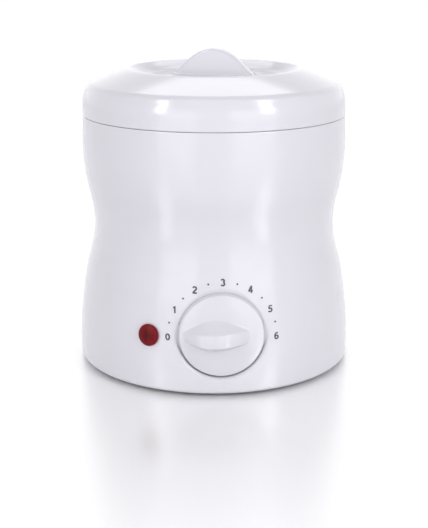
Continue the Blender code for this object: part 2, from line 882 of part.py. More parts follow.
def make_wiring():
    """The three-way terminal block on the bottom cover and the insulated wires between the fittings."""
    block("terminal_block", (32.0, 16.0, 12.0), (0, 34, 11.0), natural_nylon(), bevel=0.8)
    live = material("brown_insulation", (0.22, 0.09, 0.04), 0.5)
    neutral = material("blue_insulation", (0.04, 0.12, 0.42), 0.5)
    earth = material("green_insulation", (0.10, 0.42, 0.10), 0.5)
    sleeve = material("glass_sleeve", (0.80, 0.80, 0.76), 0.7)
    tail = INLET_TAIL - 0.7
    runs = (
        ("wire_live_in", live, ((-7, tail, 29), (-7.5, 48.5, 28), (-9, 47, 18), (-9.8, 46, 12), (-10, 42.7, 11))),
        ("wire_neutral_in", neutral, ((7, tail, 29), (7.5, 48.5, 28), (9, 47, 18), (9.8, 46, 12), (10, 42.7, 11))),
        ("wire_earth_in", earth, ((0, tail, 33.5), (0.5, 47, 35), (5, 40, 44), (10, 35, 49.5), (12, 33, 53))),
        (
            "wire_to_thermostat",
            live,
            ((-10, 25.3, 11), (-10, 18, 11.5), (-12, 0, 14), (-10, -20, 18), (-7, -34, 26), (-6, -41.8, 27.8)),
        ),
        (
            "wire_to_heater",
            sleeve,
            ((6, -41.8, 27.8), (9, -36, 29), (40, -24, 40), (60, -8, 50), (61, 4, 56), (58.65, 8, 60.8)),
        ),
        (
            "wire_from_heater",
            sleeve,
            ((55.8, 18, 60.8), (57, 20, 56), (52, 26, 44), (34, 32, 24), (23, 34, 12.5), (16.7, 34, 11)),
        ),
        (
            "lamp_lead",
            sleeve,
            ((-26.6, -44.2, 30.0), (-26, -34, 24), (-24, -10, 12), (-23, 14, 10.5), (-21, 30, 10.8), (-16.7, 32, 11)),
        ),
    )
    for name, piece_material, stops in runs:
        tube(name, eased_route(stops), 1.1, piece_material)


def make_base():
    """The bottom cover with its vents, four rubber feet and four screws."""
    top = COVER_BOTTOM + COVER_THICKNESS
    foot_top = COVER_BOTTOM - GAP
    cover_ends = ((0, 0, COVER_BOTTOM), (0, 0, top))
    cover = rod("bottom_cover", COVER_RADIUS, *cover_ends, dark_plastic(), sides=ROUND)
    for number in range(4):
        x, y, _ = around(COVER_SCREW_RADIUS, 45 + 90 * number, 0)
        hole = rod(f"cover_hole_{number + 1}", 1.9, (x, y, 0), (x, y, 8), dark_plastic())
        combine(cover, hole, "DIFFERENCE")
        screw(f"cover_screw_{number + 1}", (x, y, COVER_BOTTOM - GAP), (0, 0, -1), 3.2, 1.3, 1.5, 13.0)
        x, y, _ = around(FOOT_RADIUS, 90 * number, 0)
        stem_hole = rod(f"foot_hole_{number + 1}", 2.6, (x, y, 0), (x, y, 8), dark_plastic())
        combine(cover, stem_hole, "DIFFERENCE")
        foot = turned(
            f"foot_{number + 1}",
            [(0, 0), (6.0, 0), (6.8, 0.6), (6.8, foot_top), (2.2, foot_top), (2.2, 5.6), (0, 5.6)],
            rubber(),
            sides=16,
            closed=False,
        )
        foot.location = (x * MM, y * MM, 0)
    vent_count = 12
    for number in range(vent_count):
        vent = block(f"vent_{number + 1}", (2.4, 14.0, 8.0), (0, 0, 0), dark_plastic())
        turn = 15 + 360 / vent_count * number
        vent.location = Vector(around(36, turn, 3.3)) * MM
        vent.rotation_euler = (0, 0, math.radians(turn))
        combine(cover, vent, "DIFFERENCE")


clear_scene()
make_housing()
make_lid()
make_well()
make_pot()
make_heater()
make_dial()
make_thermostat()
make_lamp()
make_inlet()
make_wiring()
make_base()
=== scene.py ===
import math

import bmesh
import bpy
from mathutils import Matrix, Vector


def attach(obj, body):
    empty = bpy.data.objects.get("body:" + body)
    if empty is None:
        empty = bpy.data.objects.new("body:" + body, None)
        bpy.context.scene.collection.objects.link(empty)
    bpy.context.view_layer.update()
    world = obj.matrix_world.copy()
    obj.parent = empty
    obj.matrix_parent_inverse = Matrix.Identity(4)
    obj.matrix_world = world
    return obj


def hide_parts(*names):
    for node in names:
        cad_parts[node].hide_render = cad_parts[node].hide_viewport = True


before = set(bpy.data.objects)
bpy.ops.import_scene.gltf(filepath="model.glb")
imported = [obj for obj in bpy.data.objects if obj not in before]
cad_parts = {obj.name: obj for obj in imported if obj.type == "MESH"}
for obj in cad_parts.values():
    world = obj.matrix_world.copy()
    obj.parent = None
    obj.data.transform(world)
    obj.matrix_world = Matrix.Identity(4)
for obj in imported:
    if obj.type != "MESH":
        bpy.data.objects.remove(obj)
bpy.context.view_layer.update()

# ---- Studio: camera, white table and soft light -------------------------------------------
# The warmer is seen from a little above its lid, almost square to the dial. It stands on a plain
# white table under a pale sky. A narrow box and a wide panel stand on each side of the camera, and
# two more boxes hang overhead, in front and behind.


def make_camera():
    """The camera stands slightly to the left of the dial's axis and looks down at the waist."""
    distance = 0.641
    height = 0.232
    turn = math.radians(-3.1)
    pitch = math.radians(15.68)
    data = bpy.data.cameras.new("view")
    data.sensor_width = 36.0
    data.lens = 77.3
    data.clip_start = 0.02
    camera = bpy.data.objects.new("view", data)
    camera.location = (distance * math.sin(turn), -distance * math.cos(turn), height)
    camera.rotation_euler = (math.pi / 2 - pitch, 0, turn)
    bpy.context.scene.collection.objects.link(camera)
    bpy.context.scene.camera = camera


def soft_box(name, turn, elevation, distance, width, height, power):
    """A rectangular area light on a sphere about the object, facing its middle."""
    middle = Vector((0, 0, 0.09))
    turn, elevation = math.radians(turn), math.radians(elevation)
    level = math.cos(elevation)
    out = Vector((math.sin(turn) * level, -math.cos(turn) * level, math.sin(elevation)))
    data = bpy.data.lights.new(name, "AREA")
    data.shape = "RECTANGLE"
    data.size = width
    data.size_y = height
    data.energy = power
    light = bpy.data.objects.new(name, data)
    light.location = middle + out * distance
    light.rotation_euler = out.to_track_quat("Z", "Y").to_euler()
    bpy.context.scene.collection.objects.link(light)


def make_sky():
    """A pale studio: a white backdrop, soft fill in front and less light overhead."""
    world = bpy.data.worlds.new("studio")
    world.use_nodes = True
    nodes, links = world.node_tree.nodes, world.node_tree.links
    background = nodes["Background"]
    background.inputs["Color"].default_value = (0.98, 0.98, 1.0, 1)
    where = nodes.new("ShaderNodeTexCoord")
    split = nodes.new("ShaderNodeSeparateXYZ")
    links.new(where.outputs["Generated"], split.inputs["Vector"])
    levels = []
    # Each fade's axis, where it starts and ends along it, and the brightness at either end.
    fades = (("Y", 0.25, 0.90, 0.0, 0.40), ("Z", 0.15, 0.75, 0.94, 0.42))
    for axis, start, end, first, last in fades:
        ramp = nodes.new("ShaderNodeMapRange")
        ramp.interpolation_type = "SMOOTHSTEP"
        ramp.inputs["From Min"].default_value = start
        ramp.inputs["From Max"].default_value = end
        ramp.inputs["To Min"].default_value = first
        ramp.inputs["To Max"].default_value = last
        links.new(split.outputs[axis], ramp.inputs["Value"])
        levels.append(ramp)
    total = nodes.new("ShaderNodeMath")
    links.new(levels[0].outputs["Result"], total.inputs[0])
    links.new(levels[1].outputs["Result"], total.inputs[1])
    links.new(total.outputs[0], background.inputs["Strength"])
    bpy.context.scene.world = world


def make_table():
    """A wide white glass table that mirrors the object softly and glows a little from within."""
    maker = bmesh.new()
    bmesh.ops.create_grid(maker, x_segments=4, y_segments=4, size=12.0)
    mesh = bpy.data.meshes.new("table")
    maker.to_mesh(mesh)
    maker.free()
    table = bpy.data.objects.new("table", mesh)
    bpy.context.scene.collection.objects.link(table)
    sheet = bpy.data.materials.new("table_white")
    sheet.use_nodes = True
    shader = sheet.node_tree.nodes["Principled BSDF"]
    shader.inputs["Base Color"].default_value = (0.94, 0.94, 0.94, 1)
    shader.inputs["Metallic"].default_value = 0.5
    shader.inputs["Roughness"].default_value = 0.28
    shader.inputs["Emission Color"].default_value = (1, 1, 1, 1)
    shader.inputs["Emission Strength"].default_value = 0.03
    mesh.materials.append(sheet)


bpy.context.scene.view_settings.view_transform = "Standard"
make_camera()
make_sky()
make_table()
# Name, turn and elevation in degrees, distance, width and height in metres, power in watts.
for light_values in (
    ("left_box", -49, 29, 1.1, 0.17, 0.60, 2.3),
    ("right_box", 43, 29, 1.1, 0.19, 0.60, 3.1),
    ("left_panel", -34, 6, 1.4, 0.80, 0.90, 3.05),
    ("right_panel", 30.5, 6, 1.4, 0.99, 0.90, 3.95),
    ("back_box", 178, 57, 1.2, 0.85, 0.50, 2.7),
    ("front_high", -6, 62, 1.3, 0.95, 0.65, 1.5),
):
    soft_box(*light_values)

# ---- Outer housing -----------------------------------------------------------------------
# One injection moulding in glossy white ABS, 2.5 mm thick and waisted so that a hand can carry it.
# A round seat sinks into its lower front for the dial, and a square turret at the back holds the
# inlet. WALL_KNOTS gives the wall's (height, outer radius) from the foot to the rim.
WALL_KNOTS = (
    (0.002, 0.0781),
    (0.010, 0.0784),
    (0.025, 0.0778),
    (0.040, 0.0761),
    (0.055, 0.0737),
    (0.066, 0.0708),
    (0.079, 0.0688),
    (0.092, 0.0699),
    (0.106, 0.0729),
    (0.122, 0.07445),
    (0.141, 0.0740),
)
WALL_THICKNESS = 0.0025
FRONT, BACK = -1, 1
KNOB_HEIGHT = 0.0338
KNOB_BACK = -0.0732


def wall_radius(height):
    """Outer radius of the housing at a height, on a smooth curve through WALL_KNOTS."""
    index = 0
    while index < len(WALL_KNOTS) - 2 and WALL_KNOTS[index + 1][0] < height:
        index += 1
    (low, first), (high, last) = WALL_KNOTS[index], WALL_KNOTS[index + 1]

    def slope(knot):
        before = WALL_KNOTS[max(knot - 1, 0)]
        after = WALL_KNOTS[min(knot + 1, len(WALL_KNOTS) - 1)]
        return (after[1] - before[1]) / (after[0] - before[0])

    span = high - low
    t = (height - low) / span
    return (
        first * (2 * t**3 - 3 * t**2 + 1)
        + last * (3 * t**2 - 2 * t**3)
        + span * slope(index) * (t**3 - 2 * t**2 + t)
        + span * slope(index + 1) * (t**3 - t**2)
    )


def spaced(low, high, count):
    """Evenly spaced values, both ends included."""
    return [low + (high - low) * step / (count - 1) for step in range(count)]


def corner(centre, radius, start, end, steps):
    """Points on an arc in the (radius, height) plane, for a rounded edge of a turned outline."""
    return [
        (
            centre[0] + radius * math.cos(math.radians(angle)),
            centre[1] + radius * math.sin(math.radians(angle)),
        )
        for angle in spaced(start, end, steps)
    ]


def spun(outline, sides=192, closed=True):
    """A bmesh of an outline of (radius, height) spun about Z."""
    maker = bmesh.new()
    points = [maker.verts.new((radius, 0, height)) for radius, height in outline]
    for here, there in zip(points, points[1:]):
        maker.edges.new((here, there))
    if closed:
        maker.edges.new((points[-1], points[0]))
    bmesh.ops.spin(
        maker,
        geom=maker.verts[:] + maker.edges[:],
        cent=(0, 0, 0),
        axis=(0, 0, 1),
        angle=2 * math.pi,
        steps=sides,
        use_merge=True,
    )
    bmesh.ops.remove_doubles(maker, verts=maker.verts, dist=1e-7)
    return maker


def to_object(maker, name, finish, body, cad_node, sharp):
    """Close the bmesh, give it its finish and let it ride on its body in place of its CAD node."""
    bmesh.ops.remove_doubles(maker, verts=maker.verts, dist=1e-6)
    bmesh.ops.recalc_face_normals(maker, faces=maker.faces)
    mesh = bpy.data.meshes.new(name)
    maker.to_mesh(mesh)
    maker.free()
    mesh.shade_smooth()
    mesh.set_sharp_from_angle(angle=math.radians(sharp))
    mesh.materials.append(finish)
    piece = bpy.data.objects.new(name, mesh)
    bpy.context.scene.collection.objects.link(piece)
    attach(piece, body)
    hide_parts(cad_node)


def finish_node(node, finish):
    """Give a CAD node its finish in place of its plain colour."""
    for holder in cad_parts[node].material_slots:
        holder.material = finish


def next_ring(maker, edges, place):
    """Extrude a loop of edges, move each new point to place(point) and return the new loop."""
    made = bmesh.ops.extrude_edge_only(maker, edges=edges)["geom"]
    points = {item for item in made if isinstance(item, bmesh.types.BMVert)}
    for point in points:
        point.co = place(point.co.copy())
    edges = [item for item in made if isinstance(item, bmesh.types.BMEdge)]
    return [edge for edge in edges if points.issuperset(edge.verts)]


def open_window(maker, inside):
    """Remove the faces whose centres pass the test and return the loop of edges round the gap."""
    doomed = [face for face in maker.faces if inside(face.calc_center_median())]
    rim = {edge for face in doomed for edge in face.edges}
    bmesh.ops.delete(maker, geom=doomed, context="FACES")
    return [edge for edge in rim if edge.is_valid and len(edge.link_faces) == 1]


def grain_group():
    """Shared surface detail: a slow tint, a fine speckle and a height for bump."""
    found = bpy.data.node_groups.get("surface_grain")
    if found:
        return found
    group = bpy.data.node_groups.new("surface_grain", "ShaderNodeTree")
    group.interface.new_socket(name="Vector", in_out="INPUT", socket_type="NodeSocketVector")
    for label in ("Cloud Scale", "Grain Scale"):
        group.interface.new_socket(name=label, in_out="INPUT", socket_type="NodeSocketFloat")
    for label in ("Cloud", "Grain", "Height"):
        group.interface.new_socket(name=label, in_out="OUTPUT", socket_type="NodeSocketFloat")
    nodes, links = group.nodes, group.links
    source = nodes.new("NodeGroupInput")
    result = nodes.new("NodeGroupOutput")
    cloud = nodes.new("ShaderNodeTexNoise")
    cloud.inputs["Detail"].default_value = 3.0
    grain = nodes.new("ShaderNodeTexNoise")
    grain.inputs["Detail"].default_value = 5.0
    grain.inputs["Roughness"].default_value = 0.6
    blend = nodes.new("ShaderNodeMath")
    blend.operation = "MULTIPLY_ADD"
    blend.inputs[1].default_value = 0.35
    links.new(source.outputs["Vector"], cloud.inputs["Vector"])
    links.new(source.outputs["Vector"], grain.inputs["Vector"])
    links.new(source.outputs["Cloud Scale"], cloud.inputs["Scale"])
    links.new(source.outputs["Grain Scale"], grain.inputs["Scale"])
    links.new(cloud.outputs["Fac"], result.inputs["Cloud"])
    links.new(grain.outputs["Fac"], result.inputs["Grain"])
    links.new(cloud.outputs["Fac"], blend.inputs[0])
    links.new(grain.outputs["Fac"], blend.inputs[2])
    links.new(blend.outputs[0], result.inputs["Height"])
    return group


def surface(
    name,
    low,
    high,
    rough,
    metallic=0.0,
    *,
    cloud,
    grain,
    bump=0.00002,
    coat=0.0,
    specular=0.5,
):
    """A Principled finish whose tint, roughness and relief all vary with the shared grain.

    low and high are the ends of the tint, rough the ends of the roughness, cloud and grain the two
    noise scales, and bump the relief's depth in metres.
    """
    made = bpy.data.materials.new(name)
    made.use_nodes = True
    nodes, links = made.node_tree.nodes, made.node_tree.links
    shader = nodes["Principled BSDF"]
    where = nodes.new("ShaderNodeTexCoord")
    detail = nodes.new("ShaderNodeGroup")
    detail.node_tree = grain_group()
    detail.inputs["Cloud Scale"].default_value = cloud
    detail.inputs["Grain Scale"].default_value = grain
    tint = nodes.new("ShaderNodeMix")
    tint.data_type = "RGBA"
    tint.inputs["A"].default_value = (*low, 1)
    tint.inputs["B"].default_value = (*high, 1)
    spread = nodes.new("ShaderNodeMapRange")
    spread.inputs["From Min"].default_value = 0.3
    spread.inputs["From Max"].default_value = 0.7
    spread.inputs["To Min"].default_value = rough[0]
    spread.inputs["To Max"].default_value = rough[1]
    relief = nodes.new("ShaderNodeBump")
    relief.inputs["Distance"].default_value = bump
    relief.inputs["Strength"].default_value = 1.0
    links.new(where.outputs["Object"], detail.inputs["Vector"])
    links.new(detail.outputs["Cloud"], tint.inputs["Factor"])
    links.new(tint.outputs["Result"], shader.inputs["Base Color"])
    links.new(detail.outputs["Grain"], spread.inputs["Value"])
    links.new(spread.outputs["Result"], shader.inputs["Roughness"])
    links.new(detail.outputs["Height"], relief.inputs["Height"])
    links.new(relief.outputs["Normal"], shader.inputs["Normal"])
    shader.inputs["Metallic"].default_value = metallic
    shader.inputs["Coat Weight"].default_value = coat
    shader.inputs["Coat Roughness"].default_value = 0.08
    shader.inputs["Specular IOR Level"].default_value = specular
    return made


WHITE_GLOSS = surface(
    "white_gloss",
    (0.585, 0.578, 0.624),
    (0.605, 0.598, 0.644),
    (0.13, 0.22),
    cloud=14,
    grain=240,
    bump=0.000006,
    coat=0.25,
)


def housing_outline():
    """The section of the moulding: foot, waisted wall, rim, inner flange and inside of the wall."""
    wall, top, mouth, flange = WALL_THICKNESS, 0.1412, 0.0714, 0.1360
    rim_edge, ledge_edge, lip_radius = 0.0005, 0.0008, 0.0620
    foot = corner((0.0756, 0.0043), 0.0028, 270, 350, 7)
    outer = [(wall_radius(height), height) for height in spaced(0.0060, 0.1404, 76)]
    rim = corner((0.0735, 0.1407), rim_edge, 20, 90, 4)
    rim += corner((mouth + rim_edge, top - rim_edge), rim_edge, 90, 180, 4)
    ledge = [(mouth, 0.1385)]
    ledge += corner((mouth - ledge_edge, flange + ledge_edge), ledge_edge, 0, -90, 4)
    lip = [(0.0622, flange), (lip_radius, flange - 0.0002), (lip_radius, flange - wall)]
    inner = [(wall_radius(height) - wall, height) for height in spaced(flange - wall, 0.006, 40)]
    return foot + outer + rim + ledge + lip + inner + [(0.0730, 0.0015)]


def polar(point, centre_z):
    """Angle and distance of a point about a level axis at centre_z, seen along Y."""
    return math.atan2(point.z - centre_z, point.x), math.hypot(point.x, point.z - centre_z)


def at_polar(angle, reach, y, centre_z):
    """The point at an angle and distance about a level axis at centre_z, at its own Y."""
    return Vector((reach * math.cos(angle), y, centre_z + reach * math.sin(angle)))


def wall_y(angle, reach, centre_z, side, thickness=0.0):
    """Y of the wall's skin, thickness in from its outside, at a polar place about a level axis."""
    x, z = reach * math.cos(angle), centre_z + reach * math.sin(angle)
    return side * math.sqrt((wall_radius(z) - thickness) ** 2 - x * x)


def window_in_wall(maker, side, half_width, low, high, outer):
    """Open the outer or inner skin of the wall within a rectangle seen along Y."""

    def inside(centre):
        on_outside = math.hypot(centre.x, centre.y) > wall_radius(centre.z) - WALL_THICKNESS / 2
        in_view = abs(centre.x) < half_width and low < centre.z < high
        return centre.y * side > 0 and in_view and on_outside == outer

    return open_window(maker, inside)


def draw_in(maker, loop, goal, centre_z, side, thickness, steps):
    """Lead a loop over the skin in even steps until it lies on the outline goal(angle)."""
    for step in range(steps):

        def closer(point, left=steps - step):
            angle, reach = polar(point, centre_z)
            reach += (goal(angle) - reach) / left
            return at_polar(angle, reach, wall_y(angle, reach, centre_z, side, thickness), centre_z)

        loop = next_ring(maker, loop, closer)
    return loop


def lead(maker, loop, centre_z, stations):
    """Lead a loop through stations, each a rule that gives (distance, y) from an angle."""
    for station in stations:

        def follow(point, station=station):
            angle, _ = polar(point, centre_z)
            reach, y = station(angle)
            return at_polar(angle, reach, y, centre_z)

        loop = next_ring(maker, loop, follow)
    return loop


def sink_dial_seat(maker):
    """A round seat with a rounded lip for the knob, and the shaft's hole in its floor."""
    seat, lip, floor_y, hole = 0.0234, 0.0024, -0.0726, 0.0040
    loop = window_in_wall(maker, FRONT, 0.0345, 0.0064, 0.0645, True)
    inner = window_in_wall(maker, FRONT, 0.0335, 0.0064, 0.0640, False)
    loop = draw_in(maker, loop, lambda angle: seat + lip, KNOB_HEIGHT, FRONT, 0.0, 9)

    def over_lip(turn):
        def station(angle):
            reach = seat + lip * (1 - math.sin(turn))
            skin = wall_y(angle, reach, KNOB_HEIGHT, FRONT)
            drop = floor_y - skin
            if drop < 0:
                return reach, skin + drop * math.sin(turn) ** 2
            return reach, skin + min(drop, lip * (1 - math.cos(turn)))

        return station

    rounds = [over_lip(math.radians(turn)) for turn in spaced(10, 90, 9)]

    def flat_rings(radii, y):
        return [lambda angle, reach=reach: (reach, y) for reach in radii]

    floor = flat_rings((seat, 0.0200, 0.0140, 0.0080, hole), floor_y)
    loop = lead(maker, loop, KNOB_HEIGHT, rounds + floor)
    inner = draw_in(maker, inner, lambda angle: seat + lip, KNOB_HEIGHT, FRONT, WALL_THICKNESS, 4)
    back = flat_rings((0.0262, 0.0140, hole), floor_y + WALL_THICKNESS)
    inner = lead(maker, inner, KNOB_HEIGHT, back)
    bmesh.ops.bridge_loops(maker, edges=loop + inner)


def squared(angle, wide, tall):
    """Distance in a direction to a rectangle with rounded corners, half wide by half tall."""
    power = 9
    along, up = abs(math.cos(angle) / wide), abs(math.sin(angle) / tall)
    return (along**power + up**power) ** (-1 / power)


def raise_inlet_turret(maker):
    """The square turret on the back, filleted into the wall, with the inlet's aperture in it."""
    centre_z, back = 0.0310, 0.0840
    wide, tall, fillet, edge = 0.0200, 0.0160, 0.0022, 0.0016
    land, aperture, chamfer = 0.0040, 0.0059, 0.0003

    def outline(shrink):
        return lambda angle: squared(angle, wide - shrink, tall - shrink)

    loop = window_in_wall(maker, BACK, 0.0290, 0.0064, 0.0560, True)
    inner = window_in_wall(maker, BACK, 0.0270, 0.0064, 0.0540, False)
    loop = draw_in(maker, loop, outline(-fillet), centre_z, BACK, 0.0, 6)

    def up_fillet(turn):
        def station(angle):
            reach = outline(-fillet * (1 - math.sin(turn)))(angle)
            return reach, wall_y(angle, reach, centre_z, BACK) + fillet * (1 - math.cos(turn))

        return station

    def over_edge(shrink, y):
        return lambda angle: (outline(shrink)(angle), y)

    stations = [up_fillet(math.radians(turn)) for turn in spaced(15, 90, 6)]
    for turn in spaced(0, 90, 6):
        bend = math.radians(turn)
        stations.append(over_edge(edge * (1 - math.cos(bend)), back - edge * (1 - math.sin(bend))))
    stations += [over_edge(land, back), over_edge(aperture - chamfer, back)]
    stations += [over_edge(aperture, back - depth) for depth in (chamfer, WALL_THICKNESS)]
    loop = lead(maker, loop, centre_z, stations)
    inner = draw_in(maker, inner, outline(WALL_THICKNESS), centre_z, BACK, WALL_THICKNESS, 4)
    inner = lead(maker, inner, centre_z, [over_edge(WALL_THICKNESS, back - WALL_THICKNESS)])
    bmesh.ops.bridge_loops(maker, edges=loop + inner)


housing = spun(housing_outline())
sink_dial_seat(housing)
raise_inlet_turret(housing)
to_object(housing, "housing_shell", WHITE_GLOSS, "housing", "outer_housing", 50)

# ---- Dial print --------------------------------------------------------------------------
# Pad-printed dark grey numerals 0 to 6 with dots between them, on a circle round the knob.
# The ink is a few hundredths of a millimetre thick and follows the curve of the wall.
INK = surface(
    "dial_ink",
    (0.055, 0.055, 0.06),
    (0.075, 0.075, 0.08),
    (0.40, 0.55),
    cloud=200,
    grain=3000,
    bump=0.000002,
)


def print_on_wall(name, maker):
    """Wrap a flat mesh drawn in (x, z) onto the wall, proud of it by the ink's thickness."""
    longest, ink_thickness = 0.0012, 0.00004
    bmesh.ops.triangulate(maker, faces=maker.faces)
    long_edges = [edge for edge in maker.edges if edge.calc_length() > longest]
    bmesh.ops.subdivide_edges(maker, edges=long_edges, cuts=1, use_grid_fill=True)
    for point in maker.verts:
        radius = wall_radius(point.co.z) + ink_thickness
        point.co.y = -math.sqrt(radius**2 - point.co.x**2)
    for face in maker.faces:
        face.normal_update()
        if face.normal.y > 0:
            face.normal_flip()
    mesh = bpy.data.meshes.new(name)
    maker.to_mesh(mesh)
    maker.free()
    mesh.materials.append(INK)
    piece = bpy.data.objects.new(name, mesh)
    bpy.context.scene.collection.objects.link(piece)
    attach(piece, "housing")


def arc(centre, wide, tall, start, end, steps):
    """Points on part of an ellipse, its angles in degrees from the right, anticlockwise."""
    x, z = centre
    turns = [math.radians(angle) for angle in spaced(start, end, steps)]
    return [(x + wide * math.cos(turn), z + tall * math.sin(turn)) for turn in turns]


# The width of the pen and its path for each numeral, one unit high and standing on its foot.
PEN = 0.22
NUMERALS = (
    [arc((0, 0.5), 0.22, 0.415, 90, 450, 28)],
    [[(0.06, 0.0), (0.06, 1.0)], [(0.06, 0.92), (-0.03, 0.82), (-0.16, 0.74)]],
    [
        arc((0, 0.70), 0.22, 0.215, 165, -38, 14) + [(-0.20, 0.16), (-0.23, 0.085)],
        [(-0.28, 0.085), (0.29, 0.085)],
    ],
    [arc((-0.01, 0.715), 0.20, 0.20, 160, -75, 12), arc((-0.01, 0.29), 0.23, 0.215, 80, -160, 14)],
    [[(0.10, 0.0), (0.10, 1.0)], [(0.07, 0.95), (-0.23, 0.36)], [(-0.31, 0.30), (0.29, 0.30)]],
    [
        [(0.25, 0.915), (-0.13, 0.915), (-0.18, 0.50)],
        arc((-0.01, 0.32), 0.235, 0.245, 140, -155, 16),
    ],
    [arc((0.01, 0.31), 0.215, 0.235, 0, 360, 24), arc((0.03, 0.50), 0.24, 0.42, 55, 195, 12)],
)


def stroke(maker, path):
    """Draw one line of the pen: an edge across the path's start, extruded from point to point."""
    points = [Vector((x, 0, z)) for x, z in path]
    closed = path[0] == path[-1]
    loop, before, last_across = None, None, None
    for index, here in enumerate(points):
        ahead = points[min(index + 1, len(points) - 1)] - points[max(index - 1, 0)]
        if closed and index in (0, len(points) - 1):
            ahead = points[1] - points[-2]
        across = Vector((-ahead.z, 0, ahead.x)).normalized() * PEN / 2
        if loop is None:
            ends = [maker.verts.new(here - across), maker.verts.new(here + across)]
            loop = [maker.edges.new(ends)]
        else:

            def follow(point, before=before, here=here, across=across, last_across=last_across):
                return here + across if (point - before).dot(last_across) > 0 else here - across

            loop = next_ring(maker, loop, follow)
        before, last_across = here, across


def numeral(number, x, z, height):
    """A bold sans numeral centred at (x, z), as a flat bmesh in the XZ plane."""
    widening = 1.08
    maker = bmesh.new()
    for path in NUMERALS[number]:
        stroke(maker, path)
    for point in maker.verts:
        point.co = (x + point.co.x * height * widening, 0, z + (point.co.z - 0.5) * height)
    return maker


def make_dial_print():
    """The numerals 0 to 6 and the six dots, clockwise between two angles from the top."""
    print_radius, print_height, sideways = 0.0290, 0.0331, 0.0005
    first, last, steps = -91.2, 92.2, 6
    numeral_height, dot_radius = 0.0037, 0.00052

    def place(number):
        angle = math.radians(first + (last - first) * number / steps)
        out, up = print_radius * math.sin(angle), print_radius * math.cos(angle)
        return sideways + out, print_height + up

    for number in range(steps + 1):
        print_on_wall(f"print_{number}", numeral(number, *place(number), numeral_height))
    for number in range(steps):
        x, z = place(number + 0.5)
        dot = bmesh.new()
        bmesh.ops.create_circle(dot, cap_ends=True, segments=20, radius=dot_radius)
        for point in dot.verts:
            point.co = (x + point.co.x, 0, z + point.co.y)
        print_on_wall(f"print_dot_{number + 1}", dot)


make_dial_print()

# ---- Lid ---------------------------------------------------------------------------------
# A lift-off moulding in the same white plastic: a straight band, a conical shoulder and a round
# dish crossed by a half-moon grip. A thin lip under the band locates it in the housing's mouth.
DISH_FLOOR = 0.1619


def lid_outline():
    """The lid's section from the axis underneath, round its rim and back to the axis on top."""
    band, band_bend, bend_start = 0.0740, 24.0, 0.1465
    shoulder_edge, shoulder_z, slope, hollow = 0.0705, 0.15845, 0.43, 2.2

    def shoulder(radius):
        inward = shoulder_edge - radius
        return radius, shoulder_z + inward * slope - inward**2 * hollow

    outside = [(0.0709, 0.1416), (0.0716, 0.14140)]
    outside += corner((0.0736, 0.14180), 0.0004, 270, 360, 4)
    outside += [(band, height) for height in spaced(0.1430, 0.1463, 4)]
    for height in spaced(0.1470, 0.1555, 13):
        outside.append((band - band_bend * (height - bend_start) ** 2, height))
    outside += corner((0.0692, 0.1557), 0.0027, 18, 66, 8)
    outside += [shoulder(radius) for radius in spaced(0.0700, 0.0495, 16)]
    outside += corner((0.0478, 0.1650), 0.0016, 72, 128, 6)
    outside += corner((0.0370, 0.1709), 0.0090, -48, -90, 9)
    outside.append((0.0, DISH_FLOOR))
    under = [
        (0.0, 0.1574),
        (0.0420, 0.1574),
        (0.0446, 0.1580),
        (0.0462, 0.1598),
        (0.0475, 0.1625),
        (0.0490, 0.1630),
        (0.0600, 0.1592),
        (0.0690, 0.1552),
        (0.0711, 0.1530),
        (0.0713, 0.1470),
        (0.0706, 0.1445),
        (0.0693, 0.1436),
        (0.0693, 0.1388),
        (0.0697, 0.1384),
        (0.0705, 0.1384),
        (0.0709, 0.1388),
    ]
    return under + outside


def grip_fin():
    """The half-moon grip: a parabola 7.5 mm thick whose foot flares out, with rounded edges."""
    top, spread, root, half = 0.1770, 0.0330, 0.1602, 0.00375
    flare_top, flare_depth, flare, rounding = 0.1667, 0.0050, 0.0022, 0.0014
    reach = math.sqrt((top - root) * spread)
    maker = bmesh.new()
    edge = []
    for x in spaced(-reach, reach, 57):
        height = top - x * x / spread
        foot = flare * max(0, (flare_top - height) / flare_depth) ** 1.5
        edge.append((x + math.copysign(foot, x), height))
    face = maker.faces.new([maker.verts.new((x, -half, z)) for x, z in edge])
    pushed = bmesh.ops.extrude_face_region(maker, geom=[face])["geom"]
    moved = [item for item in pushed if isinstance(item, bmesh.types.BMVert)]
    bmesh.ops.translate(maker, vec=(0, 2 * half, 0), verts=moved)
    bmesh.ops.recalc_face_normals(maker, faces=maker.faces)

    def along_crest(item):
        first, last = (end.co for end in item.verts)
        return abs(first.y - last.y) < 1e-6 and max(first.z, last.z) > root + 1e-5

    bmesh.ops.bevel(
        maker,
        geom=[item for item in maker.edges if along_crest(item)],
        offset=rounding,
        segments=4,
        profile=0.5,
        affect="EDGES",
        material=-1,
        clamp_overlap=True,
    )
    return maker


def temporary(maker, name):
    """An object for one modifier to read, from a bmesh that it uses up."""
    mesh = bpy.data.meshes.new(name)
    bmesh.ops.recalc_face_normals(maker, faces=maker.faces)
    maker.to_mesh(mesh)
    maker.free()
    holder = bpy.data.objects.new(name, mesh)
    bpy.context.scene.collection.objects.link(holder)
    return holder


def joined(first, second):
    """The union of two closed bmeshes as a new bmesh."""
    body, tool = temporary(first, "union_body"), temporary(second, "union_tool")
    join = body.modifiers.new("join", "BOOLEAN")
    join.operation = "UNION"
    join.solver = "EXACT"
    join.object = tool
    seen = body.evaluated_get(bpy.context.evaluated_depsgraph_get())
    whole = bpy.data.meshes.new_from_object(seen)
    maker = bmesh.new()
    maker.from_mesh(whole)
    for item in (body, tool):
        bpy.data.objects.remove(item)
    return maker


